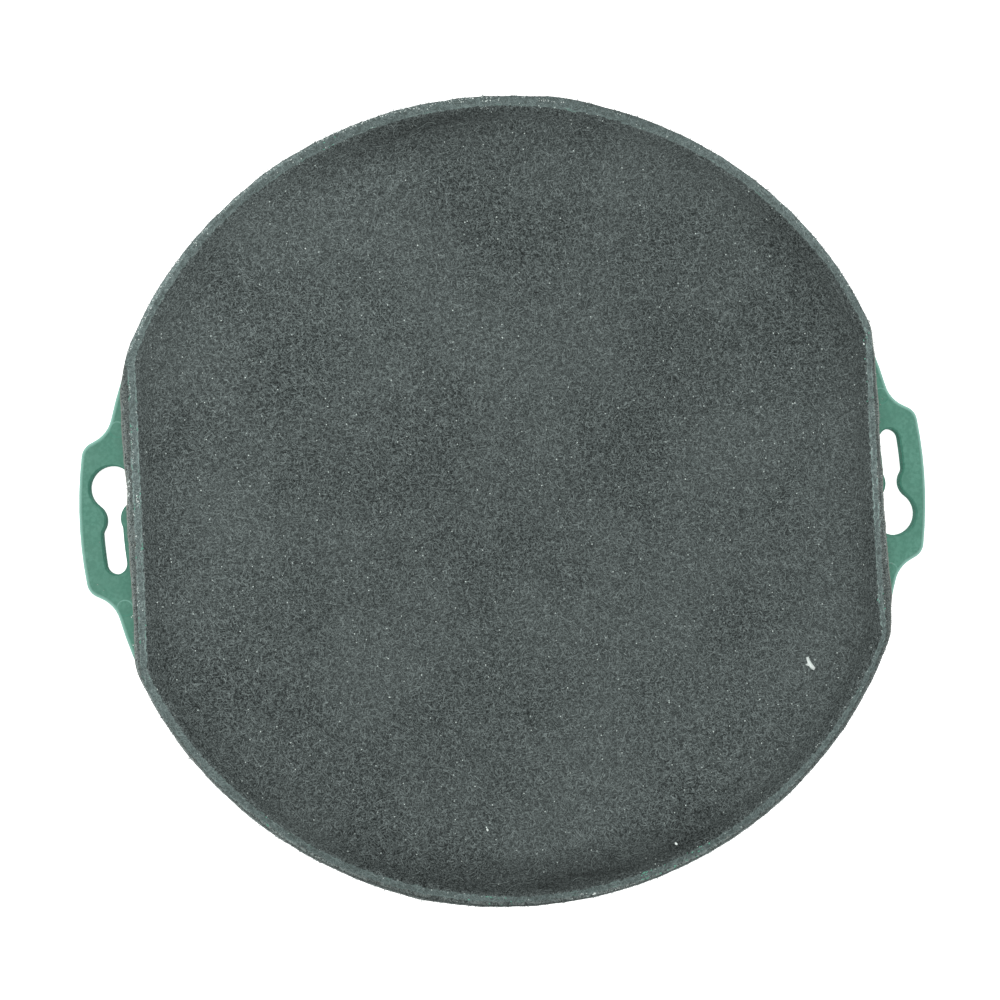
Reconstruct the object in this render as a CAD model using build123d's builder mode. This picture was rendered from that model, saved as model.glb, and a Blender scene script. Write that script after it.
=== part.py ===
from build123d import *

import os
from math import acos, degrees, radians, sqrt, tan

# Round carbon filter cassette for a cooker hood, in millimetres.
# The origin is at the centre of the face that seats on the hood. +Z points from that face
# towards the cover felt, and the two keyhole ears stand out along +X and -X.

# Flange, the round plate that seats on the hood
flange_radius = 100.0
flange_thickness = 3.5
flange_edge_chamfer = 1.1
flange_seat_chamfer = 0.4

# Wall of the tray: round, with a flat beside each ear
lip_width = 3.1
wall_thickness = 1.8
wall_height = 13.5
wall_corner_radius = 3.0
inner_corner_radius = 1.0
wall_root_chamfer = 0.8
ledge_width = 3.0

# Ears, which stand opposite each other
ear_count = 2
ear_reach = 5.7
ear_root_half_width = 21.2
ear_side_angle = 26.7
ear_tip_corner_radius = 4.2
ear_root_corner_radius = 8.0
ear_overlap = 10.0

# Keyholes of the twist lock: a round entry for the peg's head, a snap neck and a slot
track_inset = 8.1
entry_radius = 5.5
entry_angle = 4.5
twist_angle = 11.0
slot_width = 5.2
neck_width = 3.6
neck_inset = 0.35
neck_bump_radius = 4.5
slot_corner_radius = 2.0
keyhole_chamfer = 0.35
head_room = 2.5

# Ejector pin marks beside the keyholes
pin_mark_radius = 1.9
pin_mark_depth = 0.2
pin_mark_inset = 2.2
pin_mark_angle = 13.0

# Grille in the tray's floor
hub_radius = 11.0
ring_count = 5
ring_width = 1.6
ring_depth = 2.2
spoke_width = 2.0
spoke_count = 12
branch_ring = 3

# Filling and felts
fleece_thickness = 1.2
fill_clearance = 0.2
felt_thickness = 2.6
felt_margin = 1.2
margin_thickness = 1.8
crimp_thickness = 0.6
shoulder_run = 5.0

# Radii and levels that follow from the sizes above
wall_radius = flange_radius - lip_width
ear_radius = flange_radius + ear_reach
track_radius = ear_radius - track_inset
neck_radius = track_radius - neck_inset
flat_half_width = track_radius - entry_radius - head_room
wall_top = flange_thickness + wall_height
grille_inset = wall_thickness + ledge_width
ring_pitch = (wall_radius - grille_inset - hub_radius) / (ring_count + 1)


def polar(radius, angle):
    """A point at a radius and an angle in degrees about the filter's axis."""
    return Vector(radius, 0, 0).rotate(Axis.Z, angle)


def turn_between(radius_a, radius_b, distance):
    """The angle in degrees between two points at two radii that lie a distance apart."""
    cosine = (radius_a**2 + radius_b**2 - distance**2) / (2 * radius_a * radius_b)
    return degrees(acos(cosine))


def tray_outline(grow):
    """The wall's outside outline, a circle with two flats, moved outwards by grow."""
    with BuildSketch() as outline:
        Circle(wall_radius + grow)
        Rectangle(2 * (flat_half_width + grow), 2 * (wall_radius + grow), mode=Mode.INTERSECT)
        fillet(outline.vertices(), max(wall_corner_radius + grow, inner_corner_radius))
    return outline.sketch


# One ear: slanted sides and an outer edge that runs round the filter's axis
ear_root_x = sqrt(flange_radius**2 - ear_root_half_width**2)
ear_slope = tan(radians(ear_side_angle))
ear_inner_half_width = ear_root_half_width + ear_overlap * ear_slope
ear_outer_half_width = ear_root_half_width - (ear_radius - ear_root_x) * ear_slope
with BuildSketch() as ear:
    with BuildLine():
        Polyline(
            (ear_root_x - ear_overlap, -ear_inner_half_width),
            (ear_radius, -ear_outer_half_width),
            (ear_radius, ear_outer_half_width),
            (ear_root_x - ear_overlap, ear_inner_half_width),
            close=True,
        )
    make_face()
    Circle(ear_radius, mode=Mode.INTERSECT)

with BuildSketch() as flange_outline:
    Circle(flange_radius)
    with PolarLocations(0, ear_count):
        add(ear.sketch)
    fillet(flange_outline.vertices().group_by(SortBy.DISTANCE)[-1], ear_tip_corner_radius)
    fillet(flange_outline.vertices().group_by(SortBy.DISTANCE)[0], ear_root_corner_radius)

# One keyhole. On each side a bump leaves the entry hole on a tangent, narrows the neck and
# runs into the slot's wall, which is concentric with the filter. The neck lies a little
# nearer to the axis than the slot.
entry_centre = polar(track_radius, -entry_angle)
slot_end_angle = twist_angle - entry_angle
sides = {}
for side in (1, -1):
    bump_orbit = neck_radius + side * (neck_width / 2 + neck_bump_radius)
    bump_angle = turn_between(track_radius, bump_orbit, entry_radius + neck_bump_radius) - entry_angle
    bump_direction = (polar(bump_orbit, bump_angle) - entry_centre).normalized()
    slot_wall = track_radius + side * slot_width / 2
    slot_start_angle = bump_angle + turn_between(bump_orbit, slot_wall, neck_bump_radius)
    sides[side] = {
        "leave": entry_centre + bump_direction * entry_radius,
        "neck": polar(neck_radius + side * neck_width / 2, bump_angle),
        "start": polar(slot_wall, slot_start_angle),
        "middle": polar(slot_wall, (slot_start_angle + slot_end_angle) / 2),
        "end": polar(slot_wall, slot_end_angle),
    }
far_side = entry_centre + polar(1, -90 - entry_angle) * entry_radius
slot_tip = polar(track_radius, slot_end_angle) + polar(1, 90 + slot_end_angle) * slot_width / 2
outer, inner = sides[1], sides[-1]
with BuildSketch() as keyhole:
    with BuildLine():
        ThreePointArc(outer["leave"], far_side, inner["leave"])
        ThreePointArc(inner["leave"], inner["neck"], inner["start"])
        ThreePointArc(inner["start"], inner["middle"], inner["end"])
        ThreePointArc(inner["end"], slot_tip, outer["end"])
        ThreePointArc(outer["end"], outer["middle"], outer["start"])
        ThreePointArc(outer["start"], outer["neck"], outer["leave"])
    make_face()
    slot_corners = keyhole.vertices().sort_by_distance(outer["start"])[:1]
    slot_corners += keyhole.vertices().sort_by_distance(inner["start"])[:1]
    fillet(slot_corners, slot_corner_radius)

# Moulded frame: flange, ears, tray wall and grille in one piece
with BuildPart() as moulded_frame:
    add(flange_outline.sketch)
    extrude(amount=flange_thickness)
    chamfer(moulded_frame.edges().group_by(Axis.Z)[0], flange_seat_chamfer)
    chamfer(moulded_frame.edges().group_by(Axis.Z)[-1], flange_edge_chamfer)

    with BuildSketch():
        with PolarLocations(0, ear_count):
            add(keyhole.sketch)
    extrude(amount=flange_thickness, mode=Mode.SUBTRACT)
    rims = moulded_frame.edges(Select.LAST).group_by(Axis.Z)
    chamfer(rims[0] + rims[-1], keyhole_chamfer)

    with BuildSketch(Plane.XY.offset(flange_thickness)):
        add(tray_outline(0))
    extrude(amount=wall_height)
    chamfer(moulded_frame.edges(Select.LAST).group_by(Axis.Z)[0], wall_root_chamfer)
    with BuildSketch(Plane.XY.offset(flange_thickness)):
        add(tray_outline(-wall_thickness))
    extrude(amount=wall_height, mode=Mode.SUBTRACT)

    with BuildSketch(Plane.XY.offset(flange_thickness)):
        with PolarLocations(0, ear_count):
            with PolarLocations(flange_radius - pin_mark_inset, 1, -pin_mark_angle):
                Circle(pin_mark_radius)
            with PolarLocations(flange_radius - pin_mark_inset, 1, pin_mark_angle):
                Circle(pin_mark_radius)
    extrude(amount=-pin_mark_depth, mode=Mode.SUBTRACT)

    with BuildSketch():
        add(tray_outline(-grille_inset))
    extrude(amount=flange_thickness, mode=Mode.SUBTRACT)

    with BuildSketch(Plane.XY.offset(flange_thickness - ring_depth)):
        for ring in range(ring_count, 0, -1):
            Circle(hub_radius + ring * ring_pitch + ring_width / 2)
            Circle(hub_radius + ring * ring_pitch - ring_width / 2, mode=Mode.SUBTRACT)
        add(tray_outline(-wall_thickness), mode=Mode.INTERSECT)
    extrude(amount=ring_depth)

    with BuildSketch():
        with PolarLocations(0, spoke_count):
            Rectangle(wall_radius, spoke_width, align=(Align.MIN, Align.CENTER))
        with PolarLocations(hub_radius + branch_ring * ring_pitch, spoke_count, 180 / spoke_count):
            Rectangle(wall_radius, spoke_width, align=(Align.MIN, Align.CENTER))
        add(tray_outline(-wall_thickness), mode=Mode.INTERSECT)
        Circle(hub_radius)
    extrude(amount=flange_thickness)

# Inner fleece, laid over the grille so that no granule falls through
with BuildPart() as inner_fleece:
    with BuildSketch(Plane.XY.offset(flange_thickness)):
        add(tray_outline(-wall_thickness - fill_clearance))
    extrude(amount=fleece_thickness)

# Bed of activated carbon granules, level with the top of the wall
with BuildPart() as carbon_bed:
    with BuildSketch(Plane.XY.offset(flange_thickness + fleece_thickness)):
        add(tray_outline(-wall_thickness - fill_clearance))
    extrude(amount=wall_height - fleece_thickness)

# Cover felt: thick over the bed, crimped thin where it is welded to the wall's top, and
# trimmed a little outside the weld
with BuildPart() as cover_felt:
    with BuildSketch(Plane.XY.offset(wall_top)):
        add(tray_outline(felt_margin))
    extrude(amount=crimp_thickness)
    with BuildSketch(Plane.XY.offset(wall_top + crimp_thickness)):
        add(tray_outline(-wall_thickness))
    with BuildSketch(Plane.XY.offset(wall_top + felt_thickness)):
        add(tray_outline(-wall_thickness - shoulder_run))
    loft(ruled=True)
    with BuildSketch(Plane.XY.offset(wall_top)):
        add(tray_outline(felt_margin))
        add(tray_outline(0), mode=Mode.SUBTRACT)
    extrude(amount=margin_thickness)

moulded_frame.part.label = "moulded_frame"
inner_fleece.part.label = "inner_fleece"
carbon_bed.part.label = "carbon_bed"
cover_felt.part.label = "cover_felt"

os.makedirs("parts", exist_ok=True)
export_step(moulded_frame.part, "parts/moulded_frame.step")
export_step(inner_fleece.part, "parts/inner_fleece.step")
export_step(carbon_bed.part, "parts/carbon_bed.step")
export_step(cover_felt.part, "parts/cover_felt.step")
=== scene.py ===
"""Dresses a round carbon filter for a cooker hood: moulded tray, felt cover, fleece and granules."""

import logging
import math
import random
from collections.abc import Callable, Iterator
from dataclasses import dataclass
from enum import Enum

import bmesh
import bpy
from mathutils import Matrix, Vector, noise


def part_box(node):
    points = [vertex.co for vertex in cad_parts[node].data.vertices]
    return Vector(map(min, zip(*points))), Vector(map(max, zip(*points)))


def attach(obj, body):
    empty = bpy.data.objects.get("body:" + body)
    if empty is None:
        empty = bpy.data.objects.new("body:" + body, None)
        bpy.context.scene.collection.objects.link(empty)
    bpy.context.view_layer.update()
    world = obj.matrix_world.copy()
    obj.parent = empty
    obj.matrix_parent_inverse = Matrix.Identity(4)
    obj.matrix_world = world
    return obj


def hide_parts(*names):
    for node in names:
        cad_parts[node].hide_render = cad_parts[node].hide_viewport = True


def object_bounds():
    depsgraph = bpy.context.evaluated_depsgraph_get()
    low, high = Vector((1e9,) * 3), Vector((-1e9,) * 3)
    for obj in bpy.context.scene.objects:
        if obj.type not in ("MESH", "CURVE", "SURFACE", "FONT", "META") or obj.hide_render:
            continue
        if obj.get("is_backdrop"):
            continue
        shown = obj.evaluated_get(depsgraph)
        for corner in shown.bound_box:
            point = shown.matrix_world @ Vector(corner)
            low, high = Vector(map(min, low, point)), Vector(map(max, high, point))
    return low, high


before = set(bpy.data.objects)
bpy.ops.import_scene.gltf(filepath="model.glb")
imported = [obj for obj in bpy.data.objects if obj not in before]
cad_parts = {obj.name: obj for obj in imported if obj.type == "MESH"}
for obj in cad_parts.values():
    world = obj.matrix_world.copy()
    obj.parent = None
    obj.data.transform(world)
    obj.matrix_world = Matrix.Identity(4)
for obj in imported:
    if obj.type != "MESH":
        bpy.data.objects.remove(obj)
CAD_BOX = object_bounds()

MM = 0.001
BODY = "root"
FELT_SLOT = "carbon_felt"
TINY = 1e-6
Colour = tuple[float, float, float]
Point = tuple[float, float, float]
Socket = bpy.types.NodeSocket
Material = bpy.types.Material
Piece = bpy.types.Object
Value = Socket | float
Paint = Socket | Colour
log = logging.getLogger("carbon_filter")


class Blend(Enum):
    """The ways in which two grey values are put together."""

    ADD = "ADD"
    SUBTRACT = "SUBTRACT"
    MULTIPLY = "MULTIPLY"
    POWER = "POWER"
    MAXIMUM = "MAXIMUM"


def smooth_step(low: float, high: float, value: float) -> float:
    """Rises from 0 at low to 1 at high with level ends."""
    share = min(max((value - low) / (high - low), 0.0), 1.0)
    return share * share * (3 - 2 * share)


def from_screen(red: int, green: int, blue: int) -> Colour:
    """Turns a colour of 0 to 255, as a screen shows it, into the linear colour of a shader."""
    parts = (red / 255, green / 255, blue / 255)
    return tuple(c / 12.92 if c <= 0.04045 else ((c + 0.055) / 1.055) ** 2.4 for c in parts)


def around(angle: float, radius: float) -> tuple[float, float]:
    """The point at an angle in radians and a radius."""
    return radius * math.cos(angle), radius * math.sin(angle)


@dataclass(frozen=True)
class Compass:
    """A value that changes round the filter, given at some angles from -180 to 180 degrees."""

    marks: dict[int, float]

    def at(self, angle: float) -> float:
        """Finds the value at an angle, with smooth turns between the marks.

        Args:
            angle: The angle in radians.

        Returns:
            The value.
        """
        degrees = math.degrees(angle)
        angles = sorted(self.marks)
        after = next((a for a in angles if a > degrees), angles[0] + 360)
        before = max((a for a in angles if a <= degrees), default=angles[-1] - 360)
        low = self.marks[before if before in self.marks else angles[-1]]
        high = self.marks[after if after in self.marks else angles[0]]
        return low + (high - low) * smooth_step(before, after, degrees)


@dataclass(frozen=True)
class TrayOutline:
    """The outline of the tray's wall in millimetres: a circle with a flat beside each ear.

    A flat turns into the round over the length of corner, and the outline keeps its flats in full up
    to the inset deepest.
    """

    radius: float
    half_width: float
    corner: float = 0.9
    deepest: float = 24.0

    def reach(self, angle: float, inset: float) -> float:
        """The distance from the axis to the outline moved inwards.

        Args:
            angle: Direction in radians.
            inset: How far the outline is moved inwards. Less than 0 is outwards.

        Returns:
            The distance. Past the deepest inset the outline shrinks towards the axis.
        """
        depth = min(inset, self.deepest)
        ring = self.radius - depth
        flat = (self.half_width - depth) / max(abs(math.cos(angle)), TINY)
        overlap = max(self.corner - abs(ring - flat), 0.0) / self.corner
        distance = min(ring, flat) - overlap * overlap * self.corner / 4
        if inset > self.deepest:
            distance *= (self.radius - inset) / (self.radius - self.deepest)
        return distance

    def inset_of(self, x: float, y: float) -> float:
        """How far a point in millimetres lies inside the outline, near its edge."""
        ring = self.radius - math.hypot(x, y)
        return min(ring, self.half_width - abs(x))


@dataclass(frozen=True)
class Spot:
    """A place on the felt, in millimetres.

    angle is its direction from the axis in radians, and inset how far it lies inside the wall's outline.
    """

    x: float
    y: float
    angle: float
    inset: float


@dataclass(frozen=True)
class FeltMark:
    """A soft patch of the felt, in millimetres, with its half length and half width.

    turn is the direction of its length in degrees, lift its height at its middle, and tone how much
    paler its middle is. The hollows and creases get painted shade this way and the bulges painted
    light, and a few broad patches are paler. A hollow and a dark patch have values below 0.
    """

    x: float
    y: float
    length: float
    width: float
    turn: float
    lift: float
    tone: float

    def weight(self, spot: Spot) -> float:
        """Measures how strong the patch is.

        Args:
            spot: The place.

        Returns:
            The strength, from 1 at the patch's middle to 0.
        """
        angle = math.radians(self.turn)
        along = (spot.x - self.x) * math.cos(angle) + (spot.y - self.y) * math.sin(angle)
        across = (spot.y - self.y) * math.cos(angle) - (spot.x - self.x) * math.sin(angle)
        return math.exp(-((along / self.length) ** 2) - (across / self.width) ** 2)


class Graph:
    """The shader tree of a material or a world, with short calls for its nodes."""

    def __init__(self, owner: "Material | bpy.types.World", end: str) -> None:
        """Empties the tree and gives it its last node.

        Args:
            owner: The material or the world.
            end: Kind of the last node.
        """
        owner.use_nodes = True
        self.tree = owner.node_tree
        self.tree.nodes.clear()
        self.output = self.node(end)

    def node(self, kind: str, inputs: "dict | None" = None, **settings: object) -> bpy.types.Node:
        """Adds a node.

        Args:
            kind: Its type, without the word that all of them start with.
            inputs: Sockets or plain values for its inputs, by name or number.
            settings: Its other settings.

        Returns:
            The node.
        """
        node = self.tree.nodes.new("ShaderNode" + kind)
        for name, value in settings.items():
            setattr(node, name, value)
        for key, value in (inputs or {}).items():
            self.put(node.inputs[key], value)
        return node

    def put(self, target: Socket, value: "Socket | float | tuple") -> None:
        """Links a socket to a node's input, or sets the input to a plain value.

        Args:
            target: The input.
            value: The socket or the value. A colour may lack its alpha.
        """
        if isinstance(value, Socket):
            self.tree.links.new(value, target)
        elif isinstance(value, tuple) and len(target.default_value) == len(value) + 1:
            target.default_value = (*value, 1.0)
        else:
            target.default_value = value

    def join(self, way: Blend, first: Value, second: Value) -> Socket:
        """Puts two grey values together."""
        return self.node("Math", {0: first, 1: second}, operation=way.value).outputs[0]

    def times(self, first: Value, second: Value) -> Socket:
        """Multiplies two grey values."""
        return self.join(Blend.MULTIPLY, first, second)

    def less(self, first: Value, second: Value) -> Socket:
        """Takes the second grey value from the first."""
        return self.join(Blend.SUBTRACT, first, second)

    def remap(self, value: Socket, low: float, high: Value, to_low: float = 0.0,
              to_high: float = 1.0, ends: str = "SMOOTHSTEP") -> Socket:
        """Moves a range of grey values to another range, by default with smooth ends."""
        limits = {"Value": value, "From Min": low, "From Max": high, "To Min": to_low, "To Max": to_high}
        return self.node("MapRange", limits, interpolation_type=ends).outputs["Result"]


class Finish(Graph):
    """A material under construction, with a Principled shader."""

    def __init__(self, name: str) -> None:
        """Starts an empty material.

        Args:
            name: The material's name.
        """
        self.material = bpy.data.materials.new(name)
        super().__init__(self.material, "OutputMaterial")
        self.shader = self.node("BsdfPrincipled")
        self.put(self.output.inputs["Surface"], self.shader.outputs["BSDF"])
        coordinates = self.node("TexCoord")
        self.place = coordinates.outputs["Object"]
        self.facing = coordinates.outputs["Normal"]

    def moved(self, scale: tuple, turn: float = 0.0, shift: tuple = (0, 0, 0),
              source: "Socket | None" = None) -> Socket:
        """Object coordinates, turned about Z, stretched and shifted.

        Args:
            scale: Pattern size along each axis, in repeats for each metre.
            turn: Turn about Z in degrees.
            shift: Shift of the pattern.
            source: Coordinates to start from in place of the object's own.

        Returns:
            The new coordinates.
        """
        rotation = (0, 0, math.radians(turn))
        turned = self.node("Mapping", {"Vector": source or self.place, "Rotation": rotation})
        inputs = {"Vector": turned.outputs["Vector"], "Scale": scale, "Location": shift}
        return self.node("Mapping", inputs).outputs["Vector"]

    def cloud(self, scale: float, detail: float = 2.0, distortion: float = 0.0,
              source: "Socket | None" = None, output: str = "Fac") -> Socket:
        """Smooth noise.

        Args:
            scale: Repeats for each unit of the coordinates.
            detail: Finer layers added.
            distortion: How much the noise is bent.
            source: Coordinates in place of the object's own.
            output: Fac for one value, or Color for three.

        Returns:
            The noise, about 0.5 on average.
        """
        inputs = {"Vector": source or self.place, "Scale": scale, "Detail": detail, "Distortion": distortion}
        return self.node("TexNoise", inputs).outputs[output]

    def dots(self, scale: float, size: float, share: float) -> Socket:
        """Scattered dots, each with its own brightness.

        Args:
            scale: Cells for each metre.
            size: Dot radius in cells.
            share: Share of the cells that hold a dot.

        Returns:
            1 in the brightest dots and 0 between them.
        """
        cells = self.node("TexVoronoi", {"Vector": self.place, "Scale": scale}, voronoi_dimensions="2D")
        near = self.remap(cells.outputs["Distance"], size * 0.5, size, 1.0, 0.0)
        chance = self.node("SeparateColor", {"Color": cells.outputs["Color"]}).outputs["Red"]
        return self.times(near, self.remap(chance, 1.0 - share, 1.0))

    def split(self, vector: Socket) -> bpy.types.bpy_prop_collection:
        """The parts X, Y and Z of a vector."""
        return self.node("SeparateXYZ", {0: vector}).outputs

    def distance_from(self, value: Socket, centre: float) -> Socket:
        """How far a grey value lies from a centre value."""
        return self.node("Math", {0: self.less(value, centre)}, operation="ABSOLUTE").outputs[0]

    def mix(self, share: Value, first: Paint,
            second: Paint, way: str = "MIX") -> Socket:
        """Mixes two colours by a share of the second."""
        inputs = {0: share, 6: first, 7: second}
        return self.node("Mix", inputs, data_type="RGBA", blend_type=way).outputs[2]

    def layered(self, colour: Paint, *layers: tuple) -> Socket:
        """Lays colours over one another where grey values are high or low.

        Args:
            colour: The lowest colour.
            layers: Each layer's grey value, its two levels, the layer's share at each of them, and
                the layer's colour.

        Returns:
            The colour of the whole.
        """
        for value, low, high, low_share, high_share, top in layers:
            colour = self.mix(self.remap(value, low, high, low_share, high_share), colour, top)
        return colour

    def attribute(self, name: str) -> Socket:
        """The value of one of the piece's own point attributes."""
        return self.node("Attribute", attribute_name=name).outputs["Fac"]

    def finished(self, colour: Socket, roughness: Value, gloss: float,
                 relief: "tuple[Socket, float, float] | None" = None) -> Material:
        """Sets the shader.

        Args:
            colour: Its colour.
            roughness: How matt it is.
            gloss: Its specular level.
            relief: A height from 0 to 1, its depth in metres and how much of it shows.

        Returns:
            The finished material.
        """
        values = {"Base Color": colour, "Roughness": roughness, "Specular IOR Level": gloss}
        if relief:
            inputs = dict(zip(("Height", "Distance", "Strength"), relief))
            values["Normal"] = self.node("Bump", inputs).outputs["Normal"]
        for name, value in values.items():
            self.put(self.shader.inputs[name], value)
        return self.material


@dataclass(frozen=True)
class FibreWeb:
    """A tangle of fine fibres, as layers of short bent streaks that run in several directions.

    along, across and sway are repeats for each metre: along the fibres, across them and of their
    bends. curl is how far the fibres wander in metres. seed sets one tangle apart from another, shift
    one direction from the next, and stagger turns every other direction on.
    """

    layers: int = 6
    along: float = 600.0
    across: float = 7400.0
    sway: float = 250.0
    curl: float = 0.0008
    seed: float = 0.0
    stagger: float = 0.35
    shift: tuple[float, float, float] = (13.7, 7.1, 3.3)

    def strands(self, finish: Finish) -> Socket:
        """Draws the tangle.

        Args:
            finish: The material that gets it.

        Returns:
            About 0.9 on the fibres that lie on top and 0.5 in the deepest gaps.
        """
        inputs = {0: finish.cloud(self.sway, 1.0, output="Color"), 1: (self.curl,) * 3, 2: finish.place}
        bent = finish.node("VectorMath", inputs, operation="MULTIPLY_ADD").outputs[0]
        total = None
        for layer in range(self.layers):
            turn = 180.0 / self.layers * (layer + self.stagger * (layer % 2))
            x, y, z = (part * layer for part in self.shift)
            lines = finish.moved((self.along, self.across, self.across), turn, (x + self.seed, y, z), bent)
            streak = finish.cloud(1.0, 0.0, source=lines)
            total = finish.join(Blend.MAXIMUM, total, streak) if total else streak
        return total


@dataclass(frozen=True)
class FeltFinish:
    """Dark grey non-woven felt with pale fibres, welded to the wall along its edge.

    spark is the colour of the painted glints, bright dots that stand in for light caught by the felt's
    shiny specks and fibre ends, weld_edge that of the melted band's borders, cut that of a bare cut
    edge and burr that of one that the trimming pressed dark. waver is how far the band's borders
    waver, border how far inside it its pale lines lie, and relief the fibres' relief.
    """

    gap: Colour = from_screen(16, 21, 20)
    ground: Colour = from_screen(76, 84, 83)
    fibre: Colour = from_screen(130, 141, 139)
    painted_glint: Colour = from_screen(205, 218, 213)
    weld: Colour = from_screen(101, 115, 114)
    weld_edge: Colour = from_screen(130, 150, 146)
    plastic: Colour = from_screen(104, 166, 145)
    margin: Colour = from_screen(112, 122, 120)
    cut: Colour = from_screen(158, 160, 152)
    burr: Colour = from_screen(70, 79, 77)
    web: FibreWeb = FibreWeb()
    curls: FibreWeb = FibreWeb(layers=4, along=180.0, across=5600.0, sway=200.0, curl=0.0016, seed=31.0)
    waver: float = 0.28 * MM
    border: float = 0.12 * MM
    relief: float = 0.05 * MM

    def build(self) -> Material:
        """Makes the material.

        Returns:
            A material that reads the felt's outer, inner, rim and bare, its painted dip shade and its
            paleness.
        """
        finish = Finish(FELT_SLOT)
        web, tufts = self.web.strands(finish), self.curls.strands(finish)
        filled = finish.remap(web, 0.5, 0.74)
        cloth = finish.layered(
            finish.mix(filled, self.gap, self.ground),
            (web, 0.68, 0.88, 0.0, 1.0, self.fibre),
            (tufts, 0.7, 0.86, 0.0, 0.5, self.fibre),
            (finish.cloud(2300.0, 0.0), 0.32, 0.44, 0.7, 0.0, self.gap),
            (finish.cloud(40.0), 0.3, 0.7, 0.0, 0.1, self.fibre),
        )
        # Painted glints: scattered bright dots that stand in for light caught by shiny specks and fibre ends.
        glint_dots = finish.join(Blend.MAXIMUM, finish.dots(260.0, 0.05, 0.2), finish.dots(420.0, 0.07, 0.16))
        cloth = finish.mix(glint_dots, cloth, self.painted_glint)

        waver = finish.remap(finish.cloud(900.0), 0.2, 0.8, -self.waver, self.waver)
        outer, inner = (finish.join(Blend.ADD, finish.attribute(name), waver) for name in ("outer", "inner"))
        inside = finish.remap(inner, -0.2 * MM, 0.08 * MM)
        cloth = finish.mix(inside, cloth, self.melted(finish, outer, inner, web))
        cloth = finish.layered(cloth, (outer, -0.1 * MM, 0.1 * MM, 1.0, 0.0, self.fringe(finish, web, tufts)))
        bare = finish.attribute("bare")
        width = finish.remap(bare, 0.0, 1.0, 0.18 * MM, 0.42 * MM, "LINEAR")
        rim = finish.remap(finish.attribute("rim"), 0.0, width, 0.4, 1.0)
        cloth = finish.mix(finish.less(1.0, rim), cloth, finish.mix(bare, self.burr, self.cut))

        # Painted shade and light: the felt is darkened by the painted shade of the dip inside the weld and
        # multiplied by its paleness, which holds painted shade in hollows and creases and painted light on
        # bulges.
        shade = finish.remap(finish.attribute("press"), 0.0, 1.0, 1.0, 0.0, "LINEAR")
        shade = finish.times(shade, finish.join(Blend.ADD, finish.attribute("tone"), 1.0))
        grey = finish.node("CombineColor", dict.fromkeys(("Red", "Green", "Blue"), shade)).outputs["Color"]
        cloth = finish.mix(1.0, cloth, grey, "MULTIPLY")
        height = finish.times(filled, finish.remap(inside, 0.0, 1.0, 1.0, 0.5))
        return finish.finished(cloth, 0.86, 0.2, (height, self.relief, 0.4))

    def melted(self, finish: Finish, outer: Socket, inner: Socket, web: Socket) -> Socket:
        """The colour of the melted band: fused felt with thin dashed borders, glints of plastic and painted
        glints.

        Args:
            finish: The felt's material.
            outer: Distance inwards from the band's outer edge.
            inner: Distance outwards from its inner edge.
            web: The felt's fibres.

        Returns:
            The colour.
        """
        body = finish.layered(
            self.weld,
            (finish.cloud(500.0), 0.3, 0.7, 0.0, 0.3, self.weld_edge),
            (web, 0.58, 0.76, 0.95, 0.0, self.burr),
            (web, 0.7, 0.86, 0.0, 0.8, self.fibre),
        )
        rims = [finish.remap(finish.distance_from(edge, self.border), 0.05 * MM, 0.22 * MM, 1.0, 0.0)
                for edge in (outer, inner)]
        on_flats = finish.remap(finish.attribute("bare"), 0.0, 1.0, 0.35, 1.0)
        border = finish.times(finish.join(Blend.MAXIMUM, *rims), on_flats)
        dashes = finish.remap(finish.cloud(800.0, 1.0), 0.42, 0.58, 0.1, 1.0)
        patches = finish.remap(finish.cloud(90.0), 0.4, 0.6, 0.35, 1.0)
        body = finish.mix(finish.times(border, finish.times(dashes, patches)), body, self.weld_edge)
        green = finish.remap(finish.cloud(230.0), 0.6, 0.7, 0.0, 0.45)
        body = finish.mix(finish.times(green, border), body, self.plastic)
        # Painted glints: bright dots over the melted band.
        return finish.mix(finish.dots(520.0, 0.09, 0.14), body, self.painted_glint)

    def fringe(self, finish: Finish, web: Socket, tufts: Socket) -> Socket:
        """The colour of the strip outside the weld: loose felt with deep pits and pale curls.

        Args:
            finish: The felt's material.
            web: The felt's fine fibres.
            tufts: Its coarse fibres.

        Returns:
            The colour.
        """
        return finish.layered(
            self.gap,
            (web, 0.5, 0.72, 0.0, 1.0, self.margin),
            (web, 0.7, 0.88, 0.0, 0.8, self.fibre),
            (finish.cloud(1900.0, 1.0), 0.36, 0.5, 0.6, 0.0, self.gap),
            (tufts, 0.7, 0.84, 0.0, 0.35, self.cut),
        )


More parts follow.
